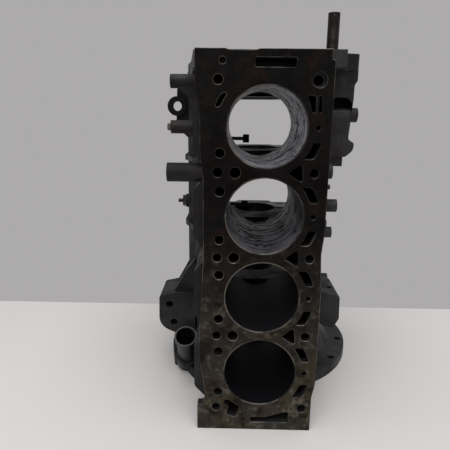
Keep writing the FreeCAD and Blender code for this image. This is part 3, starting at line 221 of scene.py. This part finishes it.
def honed_bore_iron():
    """Honed cylinder wall: cross-hatched bright iron, pitted and oily, drawn pale in the upper bores and
    nearly black in the lower ones as painted light and shade.
    """
    material, tree, place = new_material("honed_bore_iron")
    # The colour steps bore by bore: pale silver in the top bore as painted light, where light reaches in,
    # down to near black in the lowest as painted shade.
    painted_light_silver = "#09090d"
    for web, half, colour in zip(WEBS, (5, 5, 3), ("#0c0c10", "#505058", "#92929a")):
        painted_light_silver = stain(tree, painted_light_silver, colour, fade_along(tree, place, web - half, web + half))
    upper = fade_along(tree, place, WEBS[1] - 5, WEBS[1] + 5)
    # Smears and scores run round the wall, so the pattern is squeezed along the bore's depth.
    round_wall = add(tree, "ShaderNodeMapping", {"Vector": place, "Scale": (0.7, 3.0, 0.7)})
    smear = blotches(tree, round_wall.outputs["Vector"], 26, detail=7.0, rough=0.7, low=0.46, high=0.62)
    smear = weaken(tree, smear, upper, 0.15, 0.6)
    pits = blotches(tree, place, 8, detail=7.0, rough=0.75, low=0.53, high=0.56)
    worn = blotches(tree, place, 30, low=0.42, high=0.52)
    pits = add(tree, "ShaderNodeMath", (pits, worn), operation="MULTIPLY").outputs[0]
    pits = weaken(tree, pits, upper, 0.1, 1.0)
    base = stain(tree, stain(tree, painted_light_silver, "#16161a", smear), "#060607", pits)
    # Oil and pits cover the metal, so they are neither metallic nor smooth, nor are the lower bores.
    dirt = add(tree, "ShaderNodeMath", (smear, pits), operation="MAXIMUM").outputs[0]
    clean = add(tree, "ShaderNodeMapRange", {"Value": dirt, "To Min": 0.6, "To Max": 0.0})
    oil = add(tree, "ShaderNodeMapRange", {"Value": upper, "To Min": 0.5, "To Max": 0.0})
    dull = add(tree, "ShaderNodeMath", (dirt, oil.outputs["Result"]), operation="MAXIMUM").outputs[0]
    rough = add(tree, "ShaderNodeMapRange", {"Value": dull, "To Min": 0.36, "To Max": 0.85})
    normal = grain(tree, place, [(2.0, 0.12, 0.5)])
    for turn in (math.radians(HONE_SLANT), math.radians(-HONE_SLANT)):
        tilt = add(tree, "ShaderNodeMapping", {"Vector": place, "Rotation": (turn, 0.0, turn)})
        hatch = add(tree, "ShaderNodeTexWave", {
            "Vector": tilt.outputs["Vector"], "Scale": HONE_SCALE, "Distortion": 2.0}, bands_direction="Y")
        normal = add(tree, "ShaderNodeBump", {
            "Height": hatch.outputs["Fac"], "Distance": 0.06 * MM, "Strength": 0.42,
            "Normal": normal}).outputs["Normal"]
    return surface(material, {
        "Base Color": base,
        "Metallic": weaken(tree, clean.outputs["Result"], upper, 0.05, 1.0),
        "Specular IOR Level": 0.12,
        "Roughness": rough.outputs["Result"],
        "Normal": normal,
    })


def machined_iron():
    """Milled joint faces and bearing saddles: grey, tarnished and oily, satin."""
    material, tree, place = new_material("machined_iron")
    tarnish = blotches(tree, place, 24, detail=6.0, low=0.42, high=0.66)
    base = stain(tree, "#3d3a37", "#25211d", tarnish)
    rust = blotches(tree, place, 10, detail=6.0, low=0.56, high=0.7)
    base = stain(tree, base, "#3a2619", rust, 0.6)
    rough = add(tree, "ShaderNodeMapRange", {"Value": tarnish, "To Min": 0.35, "To Max": 0.6})
    # Milling marks, here too drawn coarser than they are.
    return surface(material, {
        "Base Color": base,
        "Metallic": 0.5,
        "Roughness": rough.outputs["Result"],
        "Normal": grain(tree, place, [(1.6, 0.08, 0.4)]),
    })


def rubbed_edge_iron():
    """Chamfers of the deck's bores, holes and rim: rubbed to dull bright iron, brown in the low spots."""
    material, tree, place = new_material("rubbed_edge_iron")
    bright = blotches(tree, place, 36, detail=6.0, low=0.44, high=0.6)
    return surface(material, {
        "Base Color": stain(tree, "#120e0c", "#5e5850", bright),
        "Metallic": 0.4,
        "Roughness": 0.45,
    })


def oil_washed_iron():
    """Cast walls of the crank bays: varnished by hot oil to a dull brown-black."""
    material, tree, place = new_material("oil_washed_iron")
    varnish = blotches(tree, place, 34, detail=5.0, low=0.42, high=0.66)
    rough = add(tree, "ShaderNodeMapRange", {"Value": varnish, "To Min": 0.5, "To Max": 0.75})
    # The mould's waviness and its sand, here too drawn coarser than they are.
    return surface(material, {
        "Base Color": stain(tree, "#0a0909", "#17120f", varnish),
        "Specular IOR Level": 0.1,
        "Roughness": rough.outputs["Result"],
        "Normal": grain(tree, place, [(7.0, 0.5, 0.5), (1.4, 0.15, 0.5)]),
    })


def worn_steel(name, clean, worn, rust, roughness=(0.3, 0.5), metallic=0.8):
    """Steel in its clean colour, with rubbed patches in the worn colour and small spots of rust."""
    material, tree, place = new_material(name)
    wear = blotches(tree, place, 9, detail=5.0, low=0.42, high=0.64)
    spots = blotches(tree, place, 4.5, detail=6.0, low=0.58, high=0.68)
    rough = add(tree, "ShaderNodeMapRange", {"Value": wear, "To Min": roughness[0], "To Max": roughness[1]})
    # The skin's grain is about 0.1 mm: drawn at 1.5 mm so that it shows.
    return surface(material, {
        "Base Color": stain(tree, stain(tree, clean, worn, wear), rust, spots, 0.8),
        "Metallic": metallic,
        "Roughness": rough.outputs["Result"],
        "Normal": grain(tree, place, [(1.5, 0.06, 0.4)]),
    })


# The casting's finishes, in the order of its material slots.
FINISHES = {
    "cast": sand_cast_iron(),
    "deck": stained_deck_iron(),
    "bore": honed_bore_iron(),
    "machined": machined_iron(),
    "edge": rubbed_edge_iron(),
    "oiled": oil_washed_iron(),
}
FINISH_INDEX = {name: index for index, name in enumerate(FINISHES)}

# Phosphated bolts: dark grey with a soft sheen, greyer where tools have rubbed them.
BOLT_STEEL = worn_steel("phosphated_bolt_steel", "#2c2b2a", "#4a4744", "#4a2c1a")
# Bare ground steel that has tarnished: brown-black and dull.
PIN_STEEL = worn_steel("tarnished_pin_steel", "#302d2c", "#1d1816", "#2c1b16", (0.4, 0.6))
# Steel darkened by hot oil: near black, with a soft grey sheen where it is rubbed.
JET_STEEL = worn_steel("oil_darkened_steel", "#232224", "#3a3837", "#30241c")
# Pressed plugs: a warmer, paler grey, dulled in patches and rusty in spots.
PLUG_STEEL = worn_steel("pressed_plug_steel", "#5a544c", "#3a3430", "#523522", (0.35, 0.6))
# Steel tube under an even coat of old oil: near black and hardly metallic.
TUBE_STEEL = worn_steel("oily_tube_steel", "#18191c", "#2c2d31", "#241e1b", (0.35, 0.55), 0.4)


# ---------------------------------------------------------------- pieces made from a CAD node's mesh


MERGE_REACH = 0.001 * MM
CREASE = math.radians(28)


def merged_copy(node, name):
    """A copy of a node's mesh, and its shape for editing with the loose triangles joined."""
    mesh = frame["nodes"][node].data.copy()
    mesh.name = name
    work = bmesh.new()
    work.from_mesh(mesh)
    bmesh.ops.remove_doubles(work, verts=work.verts, dist=MERGE_REACH)
    return mesh, work


def smooth_faces(mesh):
    """Smooth shading between creases, without the corner normals that came with the mesh."""
    corner_normals = mesh.attributes.get("custom_normal")
    if corner_normals:
        mesh.attributes.remove(corner_normals)
    mesh.shade_smooth()
    mesh.set_sharp_from_angle(angle=CREASE)


def fit_piece(name, mesh, node):
    """Puts a finished mesh in the scene in the place of its CAD node."""
    piece = bpy.data.objects.new(name, mesh)
    bpy.context.scene.collection.objects.link(piece)
    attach(piece, ROOT)
    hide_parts(node)


# Where the casting's finishes end, in millimetres. A face within a reach of a surface lies on it.
SURFACE_REACH = 0.6
BORE_REACH = 1.0
END_REACH = 0.1
BORE_END = -60.0
BARREL_END = -81.0
INSIDE_HALF = 68.0
EYE_X, EYE_Z, EYE_REACH = -119.0, 392.0, 15.0
# A face turned by less than 60 degrees from an axis has more than this of the axis in its normal.
HALF_TURNED = 0.5


def face_finish(centre, normal):
    """Name of a casting face's finish, from its place and the way it looks."""
    x, y, z = (part / MM for part in centre)
    if abs(y - DECK) < SURFACE_REACH and normal.y < -HALF_TURNED:
        return "deck"
    nearest = min(BORES, key=lambda height: abs(height - z))
    if abs(math.hypot(x, z - nearest) - BORE_RADIUS) < BORE_REACH and y < BORE_END:
        return "bore" if abs(normal.y) < HALF_TURNED else "edge"
    if z < END_REACH or z > BLOCK_TOP - END_REACH or y > RAIL - END_REACH:
        return "machined"
    if abs(math.hypot(x, y) - MAIN_RADIUS) < SURFACE_REACH and abs(normal.z) < HALF_TURNED:
        return "machined"
    in_bays = abs(x) < INSIDE_HALF and y > BARREL_END
    in_lifting_eye = math.hypot(x - EYE_X, z - EYE_Z) < EYE_REACH
    return "oiled" if in_bays or in_lifting_eye else "cast"


BORE_CHAMFER = 0.7
HOLE_CHAMFER = 0.5
# The CAD's own chamfer makes a bore's rim a little wider than its wall.
RIM_REACH = 1.2
DECK_REACH = 0.05
FACES_DECKWARD = -0.99


def chamfer_deck(work):
    """Breaks the milled deck's edges, wider at the bores, and gives the new faces the edge finish."""
    def on_deck(face):
        depth = face.calc_center_median().y / MM - DECK
        return face.normal.y < FACES_DECKWARD and abs(depth) < DECK_REACH

    def on_rim(edge):
        return len(edge.link_faces) == 2 and sum(map(on_deck, edge.link_faces)) == 1

    def at_bore(edge):
        middle = (edge.verts[0].co + edge.verts[1].co) / (2 * MM)
        return min(abs(math.hypot(middle.x, middle.z - bore) - BORE_RADIUS) for bore in BORES) < RIM_REACH

    rims = [edge for edge in work.edges if on_rim(edge)]
    bore_rims = [edge for edge in rims if at_bore(edge)]
    hole_rims = [edge for edge in rims if not at_bore(edge)]
    for edges, width in ((bore_rims, BORE_CHAMFER), (hole_rims, HOLE_CHAMFER)):
        bmesh.ops.bevel(
            work, geom=[edge for edge in edges if edge.is_valid], offset=width * MM, offset_type="OFFSET",
            segments=1, profile=0.5, affect="EDGES", clamp_overlap=False, material=FINISH_INDEX["edge"])


FLAT = math.radians(0.5)


def dressed_casting():
    """The casting as one smooth-shaded mesh with broken edges and a finish for each kind of face."""
    mesh, work = merged_copy("engine_block", "dressed_casting")
    bmesh.ops.dissolve_limit(work, angle_limit=FLAT, verts=work.verts, edges=work.edges)
    chamfer_deck(work)
    work.to_mesh(mesh)
    work.free()
    chamfers = {face.index for face in mesh.polygons if face.material_index == FINISH_INDEX["edge"]}
    mesh.materials.clear()
    for material in FINISHES.values():
        mesh.materials.append(material)
    for face in mesh.polygons:
        finish = "edge" if face.index in chamfers else face_finish(face.center, face.normal)
        face.material_index = FINISH_INDEX[finish]
    smooth_faces(mesh)
    fit_piece("dressed_casting", mesh, "engine_block")


# The tube's collar is 16 mm in radius and the wall below it 14 mm, which the flared bore stays inside.
LIP_RADIUS = 13.8
LIP_REACH = 0.1
TUBE_WALL_SIDE = 50.0


def flared_filler_tube():
    """The filler tube with its bore flared to a thin lip at the mouth."""
    mesh, work = merged_copy("filler_tube", "flared_filler_tube")
    # The wall's faces are triangles: their shortest long edges lie along the tube, the others slant.
    sides = [edge for edge in work.edges if edge.calc_length() > TUBE_WALL_SIDE * MM]
    side = min(sides, key=lambda edge: edge.calc_length())
    along = (side.verts[1].co - side.verts[0].co).normalized()
    if along.z < 0:
        along.negate()
    reach = max(vert.co.dot(along) for vert in work.verts)
    mouth = [vert for vert in work.verts if vert.co.dot(along) > reach - LIP_REACH * MM]
    middle = sum((vert.co for vert in mouth), Vector()) / len(mouth)
    for vert in mouth:
        out = vert.co - middle
        if out.length < LIP_RADIUS * MM:
            vert.co = middle + out.normalized() * LIP_RADIUS * MM
    work.to_mesh(mesh)
    work.free()
    mesh.materials.clear()
    mesh.materials.append(TUBE_STEEL)
    smooth_faces(mesh)
    fit_piece("flared_filler_tube", mesh, "filler_tube")


# ---------------------------------------------------------------- threaded studs


# M6 studs with a 1 mm pitch.
STUDS = ("side_stud", "bracket_stud")
THREAD_PITCH = 1.0
THREAD_DEPTH = 0.4
THREAD_SIDES = 24


def thread_tree():
    """A screw thread along Z, with its core; returns the tree and its inputs' identifiers."""
    tree = bpy.data.node_groups.new("screw_thread", "GeometryNodeTree")
    kinds = dict.fromkeys(("Radius", "Depth", "Pitch", "Length"), "NodeSocketFloat")
    kinds["Steel"] = "NodeSocketMaterial"
    inputs = {}
    for name, kind in kinds.items():
        inputs[name] = tree.interface.new_socket(name, in_out="INPUT", socket_type=kind).identifier
    tree.interface.new_socket("Thread", in_out="OUTPUT", socket_type="NodeSocketGeometry")
    given = add(tree, "NodeGroupInput").outputs

    root = add(tree, "ShaderNodeMath", (given["Radius"], given["Depth"]), operation="SUBTRACT").outputs[0]
    ridge_width = add(tree, "ShaderNodeMath", (given["Depth"], 2.0), operation="MULTIPLY").outputs[0]
    run = add(tree, "ShaderNodeMath", (given["Length"], ridge_width), operation="SUBTRACT").outputs[0]
    turns = add(tree, "ShaderNodeMath", (run, given["Pitch"]), operation="DIVIDE").outputs[0]
    half = add(tree, "ShaderNodeMath", (given["Length"], 0.5), operation="MULTIPLY").outputs[0]

    helix = add(tree, "GeometryNodeCurveSpiral", {
        "Resolution": THREAD_SIDES, "Rotations": turns, "Start Radius": root, "End Radius": root,
        "Height": run})
    ridge = add(tree, "GeometryNodeCurvePrimitiveCircle", {"Resolution": 3, "Radius": given["Depth"]})
    flank = add(tree, "GeometryNodeCurveToMesh", {
        "Curve": helix.outputs[0], "Profile Curve": ridge.outputs[0], "Fill Caps": True})
    lift = add(tree, "ShaderNodeCombineXYZ", {"Z": given["Depth"]})
    lifted = add(tree, "GeometryNodeTransform", {
        "Geometry": flank.outputs[0], "Translation": lift.outputs[0]})
    core = add(tree, "GeometryNodeMeshCylinder", {
        "Vertices": THREAD_SIDES, "Radius": root, "Depth": given["Length"]})
    middle = add(tree, "ShaderNodeCombineXYZ", {"Z": half})
    raised = add(tree, "GeometryNodeTransform", {
        "Geometry": core.outputs["Mesh"], "Translation": middle.outputs[0]})
    both = add(tree, "GeometryNodeJoinGeometry")
    for part in (raised, lifted):
        tree.links.new(part.outputs[0], both.inputs[0])
    real = add(tree, "GeometryNodeRealizeInstances", {"Geometry": both.outputs[0]})
    coated = add(tree, "GeometryNodeSetMaterial", {"Geometry": real.outputs[0], "Material": given["Steel"]})
    add(tree, "NodeGroupOutput", (coated.outputs[0],))
    return tree, inputs


def threaded_stud(node, tree, inputs):
    """A stud along X with a cut thread, in the place and size of its plain rod."""
    low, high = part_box(node)
    sizes = {
        "Radius": (high.y - low.y) / 2,
        "Depth": THREAD_DEPTH * MM,
        "Pitch": THREAD_PITCH * MM,
        "Length": high.x - low.x,
        "Steel": BOLT_STEEL,
    }
    maker = bpy.data.objects.new(node + "_maker", bpy.data.meshes.new(node + "_maker"))
    bpy.context.scene.collection.objects.link(maker)
    modifier = maker.modifiers.new("thread", "NODES")
    modifier.node_group = tree
    for name, value in sizes.items():
        modifier[inputs[name]] = value
    bpy.context.view_layer.update()
    made = bpy.data.meshes.new_from_object(maker.evaluated_get(bpy.context.evaluated_depsgraph_get()))
    bpy.data.objects.remove(maker)
    seat = Matrix.Translation((low.x, (low.y + high.y) / 2, (low.z + high.z) / 2))
    made.transform(seat @ Matrix.Rotation(math.radians(90), 4, "Y"))
    fit_piece("threaded_" + node, made, node)


def threaded_studs():
    """Both studs, cut by one thread."""
    tree, inputs = thread_tree()
    for node in STUDS:
        threaded_stud(node, tree, inputs)


# ---------------------------------------------------------------- pieces that keep their CAD shape


# Finishes by a word of the node's name; bolts and nuts, which have none of these, are phosphated.
NODE_FINISHES = {
    "main_bearing_cap": FINISHES["machined"],
    "cooling_jet": JET_STEEL,
    "jet_bolt": JET_STEEL,
    "guide_pin": PIN_STEEL,
    "plug": PLUG_STEEL,
}


def coat_fitted_pieces():
    """Finishes of the pieces fitted to the casting, apart from those made anew above."""
    for node, piece in frame["nodes"].items():
        if node in ("engine_block", "filler_tube", *STUDS):
            continue
        finish = next((steel for word, steel in NODE_FINISHES.items() if word in node), BOLT_STEEL)
        for slot in piece.material_slots:
            slot.link = "OBJECT"
            slot.material = finish


# ---------------------------------------------------------------- stage, light and camera


WALL_GREY = "#acaaab"
# The wall's foot lies this far behind the crank axis.
WALL_FOOT = 139 * MM
FLOOR_HALF = 4.0


def seen_directly(tree):
    """1 for camera, glossy and transmission rays, which are to see the plain backdrop."""
    path = add(tree, "ShaderNodeLightPath").outputs
    seen = path["Is Camera Ray"]
    for name in ("Is Glossy Ray", "Is Transmission Ray"):
        seen = add(tree, "ShaderNodeMath", (seen, path[name]), operation="MAXIMUM").outputs[0]
    return seen


def floor_material():
    """Matt pale paint that keeps the object's shadow, and past the foot of the wall the wall's grey."""
    material, tree, place = new_material("pale_floor")
    paint = add(tree, "ShaderNodeBsdfPrincipled", {"Base Color": "#d9d6d3", "Roughness": 0.9})
    wall = add(tree, "ShaderNodeEmission", {"Color": WALL_GREY, "Strength": 1.0})
    depth = add(tree, "ShaderNodeSeparateXYZ", {"Vector": place}).outputs["Y"]
    behind = add(tree, "ShaderNodeMath", (depth, WALL_FOOT), operation="GREATER_THAN").outputs[0]
    plain = add(tree, "ShaderNodeMath", (behind, seen_directly(tree)), operation="MULTIPLY").outputs[0]
    either = add(tree, "ShaderNodeMixShader", (plain, paint.outputs["BSDF"], wall.outputs["Emission"]))
    add(tree, "ShaderNodeOutputMaterial", {"Surface": either.outputs["Shader"]})
    return material


def stage():
    """A floor as wide as any view needs; the room behind it is the world's plain grey."""
    corners = [(x * FLOOR_HALF, y * FLOOR_HALF, 0.0) for x, y in ((-1, -1), (1, -1), (1, 1), (-1, 1))]
    mesh = bpy.data.meshes.new("floor")
    mesh.from_pydata(corners, [], [(0, 1, 2, 3)])
    mesh.materials.append(floor_material())
    floor = bpy.data.objects.new("floor", mesh)
    bpy.context.scene.collection.objects.link(floor)


BLOCK_MIDDLE = Vector((0.0, -0.1, 0.22))


def soft_lamp(name, place, size, power):
    """A square lamp that faces the middle of the block; metres and watts."""
    lamp = bpy.data.lights.new(name, "AREA")
    lamp.shape = "SQUARE"
    lamp.size = size
    lamp.energy = power
    holder = bpy.data.objects.new(name, lamp)
    holder.location = place
    holder.rotation_euler = (BLOCK_MIDDLE - Vector(place)).to_track_quat("-Z", "Y").to_euler()
    bpy.context.scene.collection.objects.link(holder)


def room_light():
    """Even light from all round; the camera and reflections see the wall's grey instead."""
    world = bpy.data.worlds.new("soft_room")
    world.use_nodes = True
    tree = world.node_tree
    tree.nodes.clear()
    light = add(tree, "ShaderNodeBackground", {"Color": "#c8c9cc", "Strength": 0.5})
    wall = add(tree, "ShaderNodeBackground", {"Color": WALL_GREY, "Strength": 1.0})
    backgrounds = (light.outputs["Background"], wall.outputs["Background"])
    either = add(tree, "ShaderNodeMixShader", (seen_directly(tree), *backgrounds))
    add(tree, "ShaderNodeOutputWorld", {"Surface": either.outputs["Shader"]})
    bpy.context.scene.world = world


# Near the top of the deck, in front of it, and tipped down towards the block's foot.
CAMERA_PLACE = (-0.0345, -0.7208, 0.3826)
CAMERA_YAW, CAMERA_PITCH, CAMERA_ROLL = 1.07, -13.92, -0.62
LENS_MM, SENSOR_MM = 36.07, 36.0


def camera():
    """The scene's camera: it looks along Y, turned by its yaw, pitch and roll in degrees."""
    look = Matrix.Identity(3)
    for degrees, axis in ((CAMERA_YAW, "Z"), (CAMERA_PITCH, "X"), (CAMERA_ROLL, "Y")):
        look = look @ Matrix.Rotation(math.radians(degrees), 3, axis)
    right, forward, up = look.col
    turn = Matrix((right, up, -forward)).transposed()
    lens = bpy.data.cameras.new("camera")
    lens.lens = LENS_MM
    lens.sensor_width = SENSOR_MM
    holder = bpy.data.objects.new("camera", lens)
    holder.matrix_world = Matrix.Translation(CAMERA_PLACE) @ turn.to_4x4()
    bpy.context.scene.collection.objects.link(holder)
    bpy.context.scene.camera = holder


bpy.context.scene.view_settings.view_transform = "Standard"
camera()
stage()
soft_lamp("overhead", (0.0, -0.65, 2.0), size=1.8, power=34)
soft_lamp("front", (-0.35, -2.1, 1.5), size=2.0, power=14)
room_light()
dressed_casting()
flared_filler_tube()
threaded_studs()
coat_fitted_pieces()
